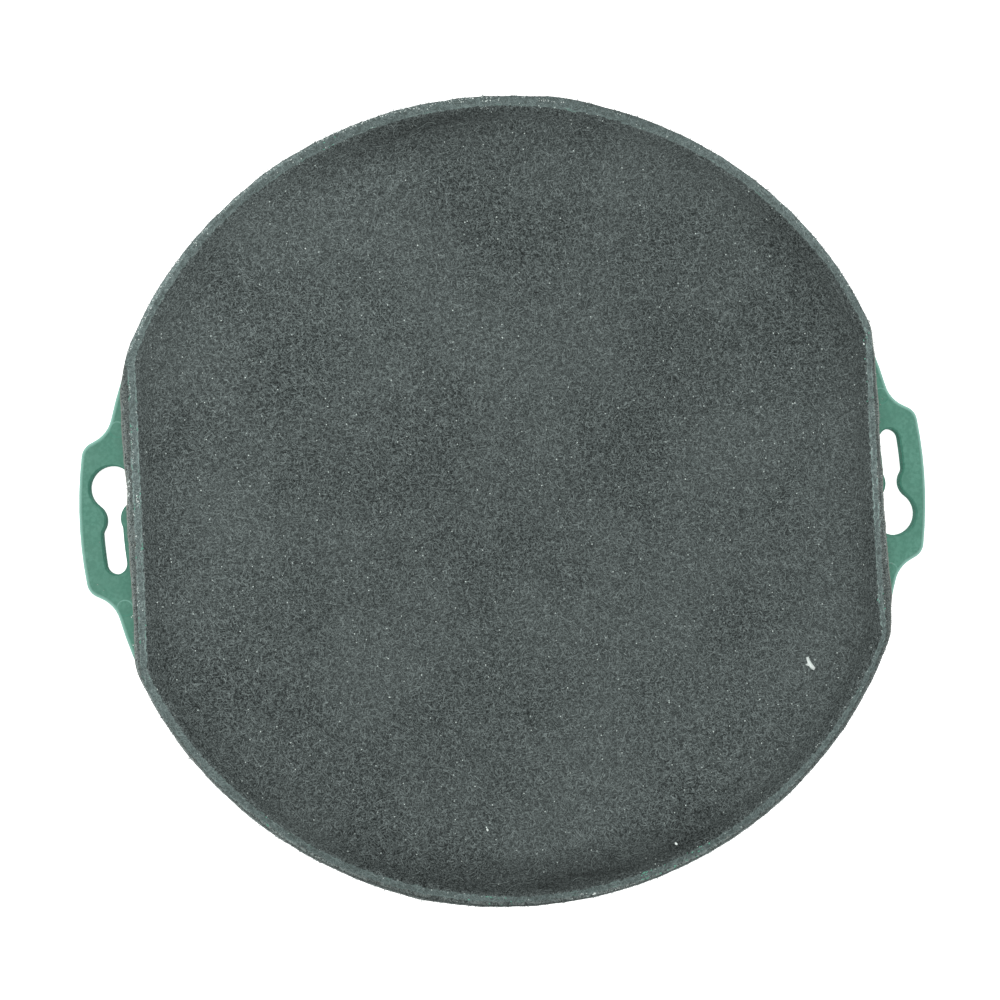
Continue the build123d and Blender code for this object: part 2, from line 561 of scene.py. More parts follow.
@dataclass(frozen=True)
class PlasticFinish:
    """Grey-green moulded polypropylene, almost matt, with painted highlights on its bevelled outer edges.

    wall is painted light and shade: a more saturated green for the keyholes' walls, where little light
    falls, which stands in for light bounced between them, and the dark side of the pin marks. pale is
    the painted highlight on the outer bevels and on the lit side of the pin marks. An edge outside
    edge_radius is an outer one. mark is the place of one ejector pin's mark, and the other three mirror
    it. Lengths are in metres.
    """

    flange_top: float
    body: Colour = from_screen(92, 144, 127)
    deep: Colour = from_screen(74, 125, 108)
    pale: Colour = from_screen(153, 204, 189)
    wall: Colour = from_screen(74, 146, 126)
    edge_radius: float = 98.5 * MM
    bevel: float = 1.1 * MM
    mark: tuple[float, float] = (95.29 * MM, 22.0 * MM)
    mark_radius: float = 1.9 * MM
    mark_line: float = 0.26 * MM
    relief: float = 0.03 * MM

    def pin_marks(self, finish: Finish, colour: Socket, drop: Socket) -> Socket:
        """Draws the ejector pins' witness lines: painted highlight on one side, painted shade on the other.

        Args:
            finish: The material that gets them.
            colour: Colour under the lines.
            drop: Depth below the flange's upper face.

        Returns:
            The colour with the lines.
        """
        place = finish.split(finish.place)
        parts = [finish.less(finish.distance_from(place[axis], 0.0), middle)
                 for axis, middle in zip("XY", self.mark)]
        squares = [finish.times(part, part) for part in parts]
        reach = finish.join(Blend.POWER, finish.join(Blend.ADD, *squares), 0.5)
        line = finish.remap(finish.distance_from(reach, self.mark_radius), 0.0, self.mark_line, 0.5, 0.0)
        line = finish.times(line, finish.remap(drop, 0.25 * MM, 0.35 * MM, 1.0, 0.0))
        # Painted light and shade: the line is pale on its lit side and dark on its other side.
        side = finish.times(parts[1], finish.remap(place["Y"], -MM, MM, -1.0, 1.0))
        return finish.mix(line, colour, finish.layered(self.wall, (side, -MM, MM, 0.0, 1.0, self.pale)))

    def build(self) -> Material:
        """Makes the material.

        Returns:
            The material of the moulded frame.
        """
        finish = Finish("green_plastic")
        colour = finish.layered(
            self.body,
            (finish.cloud(38.0, 3.0, 0.4), 0.3, 0.7, 0.0, 0.25, self.deep),
            (finish.cloud(190.0), 0.35, 0.65, 0.0, 0.4, self.deep),
            (finish.cloud(1300.0), 0.36, 0.64, 0.0, 0.75, self.deep),
        )
        drop = finish.less(self.flange_top, finish.split(finish.place)["Z"])
        bevel = finish.remap(drop, 0.0, 0.85 * self.bevel, ends="LINEAR")
        bevel = finish.times(bevel, finish.remap(drop, self.bevel, 1.4 * self.bevel, 1.0, 0.15))
        flat = finish.moved((1, 1, 0))
        length = finish.node("VectorMath", {0: flat}, operation="LENGTH").outputs["Value"]
        outwards = finish.node("VectorMath", {0: flat, 1: finish.facing}, operation="DOT_PRODUCT")
        outer = finish.times(finish.remap(length, self.edge_radius, self.edge_radius + 0.5 * MM),
                             finish.remap(outwards.outputs["Value"], 0.0, 0.03))
        # Painted bounce light: upright faces below the flange's face, such as the keyholes' walls, where
        # little light falls, get the more saturated wall green.
        bounce_wall_mask = finish.times(finish.remap(drop, 0.1 * MM, 0.5 * MM), finish.less(1.0, outer))
        level_share = finish.distance_from(finish.split(finish.facing)["Z"], 0.0)
        bounce_wall_mask = finish.times(bounce_wall_mask, finish.remap(level_share, 0.75, 0.95, 1.0, 0.0))
        colour = finish.mix(bounce_wall_mask, colour, self.wall)
        # Painted highlight: the outer bevelled edges are made pale.
        colour = finish.mix(finish.times(bevel, outer), colour, self.pale)
        colour = self.pin_marks(finish, colour, drop)
        roughness = finish.remap(finish.cloud(220.0, 3.0), 0.3, 0.7, 0.5, 0.62)
        return finish.finished(colour, roughness, 0.2, (finish.cloud(1300.0, 3.0), self.relief, 0.5))


@dataclass(frozen=True)
class FleeceFinish:
    """Thin dark fleece that shows through the grille."""

    ground: Colour = from_screen(52, 56, 56)
    fibre: Colour = from_screen(98, 104, 103)
    web: FibreWeb = FibreWeb(layers=4, along=500.0, across=3000.0)
    relief: float = 0.15 * MM

    def build(self) -> Material:
        """Makes the material.

        Returns:
            The material of the inner fleece.
        """
        finish = Finish("inner_fleece")
        fibres = finish.remap(self.web.strands(finish), 0.5, 0.85)
        ground = finish.layered(self.ground, (finish.cloud(50.0, 3.0), 0.3, 0.7, 0.0, 0.3, self.fibre))
        colour = finish.mix(finish.times(fibres, 0.75), ground, self.fibre)
        return finish.finished(colour, 0.9, 0.2, (fibres, self.relief, 0.8))


@dataclass(frozen=True)
class GranuleFinish:
    """Matt black activated carbon granules, as many to the metre as size says."""

    dark: Colour = from_screen(18, 18, 19)
    grain: Colour = from_screen(52, 53, 54)
    size: float = 420.0
    relief: float = 0.8 * MM

    def build(self) -> Material:
        """Makes the material.

        Returns:
            The material of the granule bed.
        """
        finish = Finish("carbon_granules")
        cells = finish.node("TexVoronoi", {"Vector": finish.place, "Scale": self.size})
        grain = finish.remap(cells.outputs["Distance"], 0.1, 0.6, 1.0, 0.0)
        return finish.finished(finish.mix(grain, self.dark, self.grain), 0.7, 0.35, (grain, self.relief, 0.9))


@dataclass(frozen=True)
class PlainFinish:
    """A small piece's finish: one colour with a fine grain of a darker one."""

    name: str
    light: Colour
    dark: Colour
    roughness: float

    def build(self) -> Material:
        """Makes the material.

        Returns:
            The material of the small piece.
        """
        finish = Finish(self.name)
        colour = finish.layered(self.light, (finish.cloud(1800.0), 0.3, 0.7, 0.0, 1.0, self.dark))
        return finish.finished(colour, self.roughness, 0.3)


def linked(name: str, data: bpy.types.ID) -> Piece:
    """Puts an object into the scene.

    Args:
        name: The object's name.
        data: Its mesh, curve, lamp or camera.

    Returns:
        The object.
    """
    item = bpy.data.objects.new(name, data)
    bpy.context.scene.collection.objects.link(item)
    return item


def dressed(form: "bmesh.types.BMesh | bpy.types.Mesh", name: str, material: Material) -> Piece:
    """Puts a finished form into the scene as a piece that rides with the filter.

    Args:
        form: A form in millimetres, which becomes smooth, or a mesh in metres.
        name: The piece's name.
        material: Its material.

    Returns:
        The piece.
    """
    mesh = mesh_of(form, name) if isinstance(form, bmesh.types.BMesh) else form
    mesh.materials.clear()
    mesh.materials.append(material)
    piece = linked(name, mesh)
    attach(piece, BODY)
    log.info("%s: %d faces", name, len(mesh.polygons))
    return piece


def mesh_of(form: bmesh.types.BMesh, name: str, scale: float = MM) -> bpy.types.Mesh:
    """Turns a form into a smooth mesh and frees it.

    Args:
        form: The form.
        name: The mesh's name.
        scale: Metres in the form's unit.

    Returns:
        The mesh in metres.
    """
    bmesh.ops.scale(form, vec=(scale, scale, scale), verts=form.verts[:])
    for face in form.faces:
        face.smooth = True
    mesh = bpy.data.meshes.new(name)
    form.to_mesh(mesh)
    form.free()
    return mesh


def lathe(profile: list[tuple[float, float]], steps: int) -> bmesh.types.BMesh:
    """Turns an open profile from the axis and back to it into a closed round form.

    Args:
        profile: Points as radius and height.
        steps: Number of steps round the axis.

    Returns:
        The form, in the profile's own unit.
    """
    form = bmesh.new()
    points = [form.verts.new((radius, 0.0, height)) for radius, height in profile]
    edges = [form.edges.new(pair) for pair in zip(points, points[1:])]
    bmesh.ops.spin(form, geom=points + edges, cent=(0, 0, 0), axis=(0, 0, 1), dvec=(0, 0, 0),
                   angle=2 * math.pi, steps=steps, use_merge=True, use_duplicate=False)
    bmesh.ops.remove_doubles(form, verts=form.verts[:], dist=1e-5)
    bmesh.ops.recalc_face_normals(form, faces=form.faces[:])
    return form


def spaced(start: float, end: float, pitch: float) -> list[float]:
    """Even steps from start up to, but without, end."""
    count = max(round(abs(end - start) / pitch), 1)
    return [start + (end - start) * step / count for step in range(count)]


def rough(x: float, y: float, size: float, shift: float) -> float:
    """Smooth noise from -1 to 1 at a point, with bumps of a given size."""
    return noise.noise(Vector((x / size, y / size, shift)))


@dataclass
class CoverFelt:
    """The felt cover, from its cut edge over the weld to the field, in millimetres.

    base is the height of the wall's top, which the felt is welded to, and shoulder the width of the
    slope from the weld up to the field. nominal_margin is the width of the strip outside the weld
    before it is trimmed, and margin its width round the filter. The melted look runs from the inset
    melt_start to melt_end. sink says from 0 to 1 how far the felt is pressed down just inside the
    weld, and also how much painted shade that dip gets, and bare how bare and pale the cut edge is.
    The tones are shares of the felt's brightness.
    """

    outline: TrayOutline
    base: float
    thickness: float
    weld_width: float = 1.8
    weld_height: float = 0.6
    shoulder: float = 4.6
    margin_height: float = 1.5
    nominal_margin: float = 1.2
    press_depth: float = 0.8
    steps: int = 720
    seed: int = 7
    margin: Compass = Compass({
        -178: 1.5, -174: 1.3, -168: 1.1, -164: 0.97, -160: 1.1, -157: 0.68, -147: 0.7, -133: 0.58,
        -120: 0.47, -112: 0.52, -105: 0.75, -100: 0.45, -92: 0.3, -84: 0.22, -70: 0.36, -57: 0.55,
        -45: 0.68, -33: 0.84, -26: 0.84, -23: 0.9, -19: 1.33, -16: 1.66, -13: 1.3, -10: 1.17,
        -7: 1.0, -4: 0.88, 0: 0.92, 5: 0.75, 8: 0.66, 11: 0.84, 14: 0.7, 18: 0.56, 21: 0.5, 33: 0.83,
        45: 0.92, 57: 0.8, 72: 0.8, 81: 1.05, 86: 0.57, 90: 0.62, 96: 0.56, 110: 0.66, 123: 0.88,
        135: 0.82, 147: 1.06, 154: 0.9, 158: 0.85, 162: 1.82, 167: 1.85, 171: 1.72, 174: 1.42,
        176: 1.18, 179: 1.5,
    })
    sink: Compass = Compass({
        -173: 0.08, -158: 0.3, -143: 0.25, -128: 0.45, -113: 0.55, -98: 0.9, -83: 1.15, -68: 1.0,
        -53: 0.45, -38: 0.22, -23: 0.4, -8: 0.22, 7: 0.25, 22: 0.55, 37: 0.5, 52: 0.4, 67: 0.32,
        82: 0.4, 97: 0.9, 112: 0.45, 127: 0.05, 142: 0.2, 157: 0.2, 172: 0.05,
    })
    melt_start: Compass = Compass({
        -176: 0.1, -161: 0.0, -152: -0.15, -144: 0.0, -136: 0.1, -128: 0.35, -120: 0.55, -112: 0.55,
        -104: 0.65, -96: 0.74, -88: 0.8, -80: 0.68, -72: 0.52, -64: 0.45, -56: 0.25, -48: 0.12,
        -40: 0.0, -25: -0.15, -17: 0.3, -10: 0.15, -3: 0.25, 3: 0.2, 10: 0.1, 18: 0.05, 24: -2.5,
        156: -2.5, 159: 0.05, 176: 0.05,
    })
    melt_end: Compass = Compass({
        -176: 1.75, -168: 1.75, -161: 1.58, -152: 1.4, -144: 1.53, -136: 1.75, -128: 1.82, -120: 1.97,
        -112: 2.12, -104: 2.15, -96: 2.07, -88: 1.85, -80: 1.88, -72: 1.68, -64: 1.72, -56: 1.58,
        -48: 1.43, -40: 1.16, -32: 1.02, -25: 0.9, -17: 1.49, -10: 1.59, 10: 1.56, 17: 1.45, 26: 1.07,
        33: 1.04, 41: 1.26, 57: 1.38, 65: 1.53, 73: 1.68, 89: 1.75, 97: 1.88, 105: 1.75, 113: 1.79,
        121: 1.58, 129: 1.42, 137: 1.2, 152: 1.17, 161: 1.85, 176: 1.85,
    })
    melt_tone: Compass = Compass({
        -176: 1.27, -168: 1.22, -161: 1.1, -152: 1.14, -144: 1.06, -136: 0.93, -120: 0.86, -112: 0.9,
        -104: 0.89, -96: 1.0, -88: 0.84, -80: 0.82, -72: 0.88, -64: 0.76, -56: 0.89, -48: 0.95,
        -40: 1.0, -32: 0.95, -25: 0.98, -17: 1.0, -10: 1.07, -3: 1.17, 3: 1.15, 10: 1.06, 17: 1.16,
        26: 1.0, 41: 1.0, 57: 1.04, 65: 0.95, 73: 0.97, 97: 1.02, 105: 0.96, 121: 0.95, 145: 1.02,
        152: 1.05, 161: 1.12, 168: 1.22, 176: 1.33,
    })
    strip_tone: Compass = Compass({
        -176: 1.36, -168: 1.27, -161: 1.48, -152: 1.8, -144: 1.5, -136: 1.5, -128: 1.5, -120: 1.28,
        -112: 1.04, -104: 0.85, -96: 0.88, -88: 0.85, -80: 1.1, -72: 1.22, -64: 1.3, -56: 1.16,
        -48: 1.12, -40: 1.03, -32: 1.05, -25: 0.87, -17: 0.9, -10: 1.14, -3: 1.24, 3: 1.02, 10: 1.18,
        18: 1.12, 26: 1.04, 33: 1.17, 41: 1.4, 49: 1.2, 57: 1.14, 65: 0.98, 73: 0.78, 81: 0.95,
        97: 1.0, 105: 1.15, 113: 1.17, 121: 1.5, 129: 1.4, 137: 1.35, 145: 1.8, 152: 1.5, 160: 1.04,
        168: 1.2, 176: 1.46,
    })
    bare: Compass = Compass({
        -180: 0.8, -162: 0.7, -152: 0.0, -28: 0.0, -20: 1.0, 20: 1.0, 28: 0.0, 152: 0.0, 162: 0.7,
    })
    # The felt's bulges, hollows and creases; their tones paint shade into the hollows and creases and light
    # onto the bulges, and the broad ones are paler patches.
    marks: tuple[FeltMark, ...] = (
        FeltMark(-24.0, 88.6, 9.0, 1.9, 15.0, -0.5, -0.26),
        FeltMark(-10.0, 92.0, 9.0, 1.5, 5.0, -0.4, -0.24),
        FeltMark(-19.0, 78.0, 10.0, 4.0, 12.0, 0.55, 0.14),
        FeltMark(-34.0, 74.0, 9.0, 5.0, 25.0, 0.2, 0.08),
        FeltMark(-45.0, 48.0, 36.0, 30.0, 130.0, 0.0, 0.15),
        FeltMark(-72.0, -18.0, 16.0, 48.0, 0.0, 0.0, 0.1),
        FeltMark(49.0, 65.5, 3.0, 6.0, -20.0, 0.3, 0.1),
        FeltMark(6.0, -88.5, 34.0, 3.2, 2.0, -0.35, -0.06),
        FeltMark(14.5, -90.4, 11.0, 0.8, 3.0, -0.12, -0.3),
        FeltMark(3.0, -92.5, 2.6, 0.7, 0.0, -0.08, -0.25),
        FeltMark(-14.0, 1.0, 60.0, 0.7, -2.5, -0.12, -0.05),
        FeltMark(70.0, 60.0, 6.0, 14.0, 45.0, -0.2, -0.07),
        FeltMark(45.0, -60.0, 26.0, 14.0, 50.0, -0.2, 0.06),
    )

    def levels(self) -> list[tuple[float, float]]:
        """Lays out the felt's section from the axis over the edge and back.

        Returns:
            The section's points as inset and height.
        """
        outline, weld, top = self.outline, self.weld_width, self.weld_width + self.shoulder
        insets = spaced(outline.radius, outline.deepest, 2.7) + spaced(outline.deepest, top, 1.1)
        insets += spaced(top, weld, 0.38) + spaced(weld, 0.0, 0.3)
        insets += [-part * self.nominal_margin for part in (0.0, 0.12, 0.3, 0.55, 0.8, 0.95, 1.0)]
        edge = [(-part * self.nominal_margin, share * self.margin_height)
                for part, share in ((1.03, 0.72), (1.03, 0.4), (0.98, 0.12), (0.85, 0.0))]
        upper = [(inset, self.top_height(inset)) for inset in insets]
        under = (-0.3, 0.0, weld, 6.0, 15.0, 30.0, 50.0, 75.0, outline.radius)
        return upper + edge + [(inset, 0.0) for inset in under]

    def top_height(self, inset: float) -> float:
        """Measures the section's upper face.

        Args:
            inset: How far inside the wall's outline.

        Returns:
            The height above the weld's plane.
        """
        if inset > self.weld_width:
            rise = smooth_step(self.weld_width - 0.6, self.weld_width + self.shoulder, inset)
            return self.weld_height + (self.thickness - self.weld_height) * rise
        if inset >= 0:
            return self.weld_height
        part = -inset / self.nominal_margin
        rise = smooth_step(0.0, 0.45, part) - 0.35 * smooth_step(0.7, 1.0, part)
        return self.weld_height + (self.margin_height - self.weld_height) * rise

    def strip_height(self, angle: float, inset: float) -> float:
        """Measures the band or the strip, which is flat where the band runs out.

        Args:
            angle: Direction in radians.
            inset: How far inside the wall's outline.

        Returns:
            The height above the weld's plane.
        """
        height = self.top_height(inset)
        if inset >= 0:
            return height
        run_out = smooth_step(0.0, 1.0, -self.melt_start.at(angle))
        return height + (self.weld_height - height) * run_out

    def cut_width(self, angle: float) -> float:
        """Measures the trimmed strip, with the snags of the cut.

        Args:
            angle: Direction in radians.

        Returns:
            The strip's width.
        """
        spot = Vector((*around(angle, 1.0), 0.0))
        snag = 0.16 * noise.noise(spot * 22.0 + Vector((3.1, 0, self.seed)))
        fray = 0.08 * noise.noise(spot * 75.0 + Vector((0, 5.7, self.seed)))
        return max(self.margin.at(angle) + snag + fray, 0.12)

    def sway(self, spot: Spot) -> float:
        """Measures the field's soft waves and where it is pressed just inside the weld.

        Args:
            spot: The place.

        Returns:
            How far the felt stands above its plane. Less than 0 is below it.
        """
        wide = 0.3 * rough(spot.x, spot.y, 42, self.seed)
        fine = 0.11 * rough(spot.x, spot.y, 11, self.seed + 9.0)
        lift = sum(mark.lift * mark.weight(spot) for mark in self.marks)
        lift *= smooth_step(self.weld_width, 5.0, spot.inset)
        into = smooth_step(self.weld_width - 0.1, self.weld_width + 1.6, spot.inset)
        out = 1.0 - smooth_step(5.0, 12.0, spot.inset)
        dip = self.press_depth * into * out * self.sink.at(spot.angle)
        return smooth_step(self.weld_width, 12.0, spot.inset) * (wide + fine) + lift - dip

    def dip_shade_at(self, spot: Spot) -> float:
        """Measures the painted shade in the dip just inside the weld, where the felt is pressed down.

        Args:
            spot: The place.

        Returns:
            The painted shade, from 0 to 1.
        """
        start = self.melt_end.at(spot.angle)
        near = smooth_step(start - 0.1, start + 0.7, spot.inset)
        ring = 1.0 - smooth_step(3.0, 7.0, spot.inset)
        basin = (1.0 - smooth_step(5.0, 16.0, spot.inset)) * self.sink.at(spot.angle)
        return near * (0.01 * ring + 0.36 * basin)

    def tone_and_shading_at(self, spot: Spot) -> float:
        """Measures how much paler the felt is than its base colour, with painted shade and light.

        The weld and the strip have their tones round the filter, and the marks paint shade into the
        hollows and creases and light onto the bulges.

        Args:
            spot: The place.

        Returns:
            The share. Less than 0 is darker.
        """
        if spot.inset < max(self.melt_start.at(spot.angle), 0.0):
            return self.strip_tone.at(spot.angle) - 1.0
        if spot.inset < self.melt_end.at(spot.angle) + 0.15:
            return self.melt_tone.at(spot.angle) - 1.0
        return sum(mark.tone * mark.weight(spot) for mark in self.marks)

    def surface(self, x: float, y: float) -> float:
        """The height of the felt's upper face at a point, in millimetres."""
        spot = Spot(x, y, math.atan2(y, x), self.outline.inset_of(x, y))
        return self.base + self.top_height(spot.inset) + self.sway(spot)

    def build(self, material: Material) -> Piece:
        """Makes the felt as one closed form.

        Args:
            material: The felt's material.

        Returns:
            The piece, which stands for the plain felt.
        """
        radius = self.outline.radius
        form = lathe([(max(radius - inset, 0.0), height) for inset, height in self.levels()], self.steps)
        names = ("outer", "inner", "rim", "bare", "press", "tone")
        layers = [form.verts.layers.float.new(name) for name in names]
        for vertex in form.verts:
            angle = math.atan2(vertex.co.y, vertex.co.x)
            nominal = radius - math.hypot(vertex.co.x, vertex.co.y)
            inset, height, cut = nominal, vertex.co.z, self.cut_width(angle)
            if nominal < 0:
                inset *= cut / self.nominal_margin
                height *= self.strip_height(angle, nominal) / self.top_height(nominal)
            x, y = around(angle, self.outline.reach(angle, inset))
            spot = Spot(x, y, angle, self.outline.inset_of(x, y) if inset > 0 else inset)
            if height > 0.01:
                pucker = 0.07 * rough(x, y, 1.7, self.seed + 3.0)
                height += self.sway(spot) + pucker * smooth_step(-2.0, 0.0, spot.inset)
            vertex.co = (x, y, self.base + max(height, 0.0))
            from_start, to_end = spot.inset - self.melt_start.at(angle), self.melt_end.at(angle) - spot.inset
            values = (from_start * MM, to_end * MM, (inset + cut) * MM, self.bare.at(angle),
                      self.dip_shade_at(spot), self.tone_and_shading_at(spot))
            for layer, value in zip(layers, values):
                vertex[layer] = value
        piece = dressed(form, "felt_cover", material)
        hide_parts("cover_felt")
        return piece

    def flat_area(self) -> float:
        """The felt's cut area in square metres."""
        squares = [self.outline.reach(turn, -self.cut_width(turn)) ** 2
                   for turn in spaced(-math.pi, math.pi, 2 * math.pi / self.steps)]
        return math.pi / self.steps * sum(squares) * MM * MM


@dataclass
class LooseFibres:
    """Single curly fibres that lie on the felt or stick out of its cut edge, in millimetres.

    thickness is half a fibre's thickness, and clear is how far from the weld the field's fibres start.
    """

    felt: CoverFelt
    count: int = 1500
    edge_count: int = 1500
    thickness: float = 0.045
    clear: float = 2.5
    seed: int = 21

    def field(self) -> Iterator[list[Point]]:
        """Lays fibres on the field, each in a low arch.

        Yields:
            Each fibre's points in metres.
        """
        draw = random.Random(self.seed)
        outline = self.felt.outline
        last, placed = 7, 0
        while placed < self.count:
            x = draw.uniform(-outline.half_width, outline.half_width)
            y = draw.uniform(-outline.radius, outline.radius)
            if outline.inset_of(x, y) < self.felt.weld_width + self.clear:
                continue
            placed += 1
            step, heading = draw.uniform(0.3, 0.75), draw.uniform(0, 2 * math.pi)
            lift, bend = draw.uniform(0.05, 0.22), draw.uniform(-0.5, 0.5)
            line = []
            for index in range(last + 1):
                arch = lift * math.sin(math.pi * index / last)
                line.append((x * MM, y * MM, (self.felt.surface(x, y) + 0.01 + arch) * MM))
                heading += bend + draw.uniform(-0.3, 0.3)
                x += step * math.cos(heading)
                y += step * math.sin(heading)
            yield line

    def fringe(self) -> Iterator[list[Point]]:
        """Sets short fibres that stick out of the cut edge.

        Yields:
            Each fibre's points in metres.
        """
        draw = random.Random(self.seed + 1)
        for _ in range(self.edge_count):
            angle = draw.uniform(-math.pi, math.pi)
            x, y = around(angle, self.felt.outline.reach(angle, -self.felt.cut_width(angle)) - 0.1)
            heading = angle + draw.uniform(-1.4, 1.4)
            step = draw.uniform(0.05, 0.16)
            height = self.felt.base + draw.uniform(0.2, self.felt.margin_height)
            bend = draw.uniform(-0.6, 0.6)
            line = []
            for _ in range(5):
                line.append((x * MM, y * MM, height * MM))
                heading += bend
                x += step * math.cos(heading)
                y += step * math.sin(heading)
                height += draw.uniform(-0.06, 0.06)
            yield line

    def build(self, name: str, lines: Iterator[list[Point]], material: Material) -> Piece:
        """Makes a group of fibres as thin closed strands.

        Args:
            name: The piece's name.
            lines: The fibres' lines.
            material: The fibres' material.

        Returns:
            The piece.
        """
        curve = bpy.data.curves.new(name, "CURVE")
        curve.dimensions = "3D"
        curve.bevel_depth = self.thickness * MM
        curve.bevel_resolution = 0
        curve.use_fill_caps = True
        for line in lines:
            spline = curve.splines.new("POLY")
            spline.points.add(len(line) - 1)
            for point, place in zip(spline.points, line):
                point.co = (*place, 1.0)
        holder = linked(name, curve)
        mesh = bpy.data.meshes.new_from_object(holder)
        bpy.data.objects.remove(holder)
        return dressed(mesh, name, material)


@dataclass
class Litter:
    """Small things on the felt and the ears: white flecks, specks and beads of melted plastic.

    Lengths are in millimetres. The chip is given by its corners, a speck by its place and radius, a
    plastic spot by its place and number of beads, and a white spot by its place, half length, number
    of flecks and radius. Half of the edge specks lie between the two angles of crowd, in degrees.
    """

    felt: CoverFelt
    flange_top: float
    seed: int = 5
    edge_specks: int = 460
    crowd: tuple[float, float] = (90, 157)
    chip_thickness: float = 0.25
    chip: tuple[tuple[float, float], ...] = (
        (69.2, -41.2), (69.8, -41.1), (70.3, -42.4), (71.3, -43.8), (70.9, -44.4), (70.2, -43.9),
        (69.7, -43.3), (68.9, -43.0), (69.5, -42.6),
    )
    specks: tuple[tuple[float, float, float], ...] = (
        (-9.2, -78.2, 0.28), (-9.4, -77.6, 0.16), (35.8, -84.2, 0.3), (69.6, 20.0, 0.12), (-46.0, 62.0, 0.15),
    )
    ear_specks: tuple[tuple[float, float, float], ...] = (
        (-100.8, -5.5, 0.09), (-101.7, -15.9, 0.1), (-100.3, -17.4, 0.08), (95.0, 19.8, 0.14),
        (95.6, 21.2, 0.1), (94.2, 18.4, 0.12), (94.7, -18.5, 0.12), (95.9, -20.3, 0.09), (94.3, -16.4, 0.1),
    )
    plastic_spots: tuple[tuple[float, float, int], ...] = (
        (28.0, -90.4, 14), (41.6, -84.6, 9), (34.0, -88.0, 8), (-89.4, -8.8, 6), (-89.1, -27.8, 6),
        (-9.1, -95.7, 7), (-5.8, -95.7, 5), (88.0, 22.0, 3), (-89.1, 4.5, 3),
        (-40.0, 86.5, 5), (-88.6, 20.0, 4), (88.4, 32.0, 4), (88.6, -30.0, 4), (-60.0, -74.0, 4),
    )
    white_spots: tuple[tuple[float, float, float, int, float], ...] = (
        (-89.2, 31.0, 1.5, 9, 0.09), (-89.3, 20.0, 1.6, 12, 0.08), (-89.2, 14.5, 2.4, 22, 0.08),
        (-90.2, 8.2, 0.6, 12, 0.13), (-90.6, 5.1, 0.8, 14, 0.11), (-88.6, 3.8, 0.6, 9, 0.15),
        (-89.5, 0.5, 0.15, 2, 0.2), (-89.2, -4.5, 0.2, 2, 0.16), (-87.3, -4.0, 0.15, 2, 0.1),
        (-89.4, -17.3, 1.1, 12, 0.11), (-89.4, -20.5, 0.8, 8, 0.11), (-90.8, -23.4, 0.2, 2, 0.12),
        (-90.8, -30.5, 0.3, 3, 0.11), (89.8, -5.8, 0.9, 6, 0.1), (89.9, -8.9, 0.9, 8, 0.1),
        (89.5, 16.8, 1.0, 5, 0.1), (87.5, 33.5, 0.15, 2, 0.2), (15.8, -95.4, 0.15, 2, 0.22),
        (13.0, -95.1, 1.0, 5, 0.1), (21.0, -94.6, 2.6, 26, 0.08), (-7.2, 96.4, 0.3, 4, 0.15),
        (-1.2, 96.4, 0.5, 6, 0.13), (1.6, 96.6, 0.2, 2, 0.12), (12.3, 96.0, 1.2, 7, 0.11),
        (15.0, 95.4, 1.3, 9, 0.09), (17.1, 95.2, 0.4, 3, 0.1), (-1.5, 94.5, 1.2, 7, 0.08),
        (-15.3, 95.4, 1.5, 7, 0.09),
    )

    def grain(self, form: bmesh.types.BMesh, place: Point, size: float, fineness: int, stretch: float,
              turn: float) -> None:
        """Adds one rounded grain to a form.

        Args:
            form: The form.
            place: The grain's middle.
            size: Its radius.
            fineness: Subdivisions of the ball that it starts from.
            stretch: Its length over its width.
            turn: Direction of its length in radians.
        """
        matrix = Matrix.Translation(place) @ Matrix.Rotation(turn, 4, "Z")
        matrix @= Matrix.Diagonal((size * stretch, size, size * 0.7, 1.0))
        bmesh.ops.create_icosphere(form, subdivisions=fineness, radius=1.0, matrix=matrix)

    def flecks(self, material: Material) -> Piece:
        """Makes the white chip and the specks on the felt and on its edge.

        Args:
            material: Their material.

        Returns:
            The piece.
        """
        felt, outline = self.felt, self.felt.outline
        draw = random.Random(self.seed)
        form = bmesh.new()
        corners = [form.verts.new((x, y, felt.surface(x, y) - 0.05)) for x, y in self.chip]
        raised = bmesh.ops.extrude_face_region(form, geom=[form.faces.new(corners)])
        top = [item for item in raised["geom"] if isinstance(item, bmesh.types.BMVert)]
        bmesh.ops.translate(form, vec=(0, 0, self.chip_thickness), verts=top)
        bmesh.ops.recalc_face_normals(form, faces=form.faces[:])
        for x, y, size in self.specks:
            self.grain(form, (x, y, felt.surface(x, y) + size / 2), size, 2, 1.4, draw.uniform(0, 3))
        for _ in range(self.edge_specks):
            crowded = draw.random() < 0.5
            angle = math.radians(draw.uniform(*self.crowd)) if crowded else draw.uniform(-math.pi, math.pi)
            inset = draw.choice((draw.gauss(0.0, 0.15), draw.gauss(-0.3, 0.2), draw.gauss(1.7, 0.3)))
            if crowded:
                inset = draw.gauss(-0.4, 0.25)
            inset = max(inset, -felt.cut_width(angle) + 0.15)
            size = draw.uniform(0.04, 0.15 if crowded else 0.11)
            x, y = around(angle, outline.reach(angle, inset))
            place = (x, y, felt.base + felt.strip_height(angle, inset) + 0.03)
            self.grain(form, place, size, 1, draw.uniform(1.0, 2.2), draw.uniform(0, math.pi))
        for x, y, spread, count, size in self.white_spots:
            along = math.pi / 2 if abs(x) > outline.half_width - 5 else math.atan2(y, x) + math.pi / 2
            for _ in range(count):
                ahead, aside = draw.gauss(0, spread), draw.gauss(0, 0.18)
                spot_x = x + ahead * math.cos(along) - aside * math.sin(along)
                spot_y = y + ahead * math.sin(along) + aside * math.cos(along)
                height = felt.strip_height(math.atan2(spot_y, spot_x), outline.inset_of(spot_x, spot_y))
                place = (spot_x, spot_y, felt.base + height + 0.04)
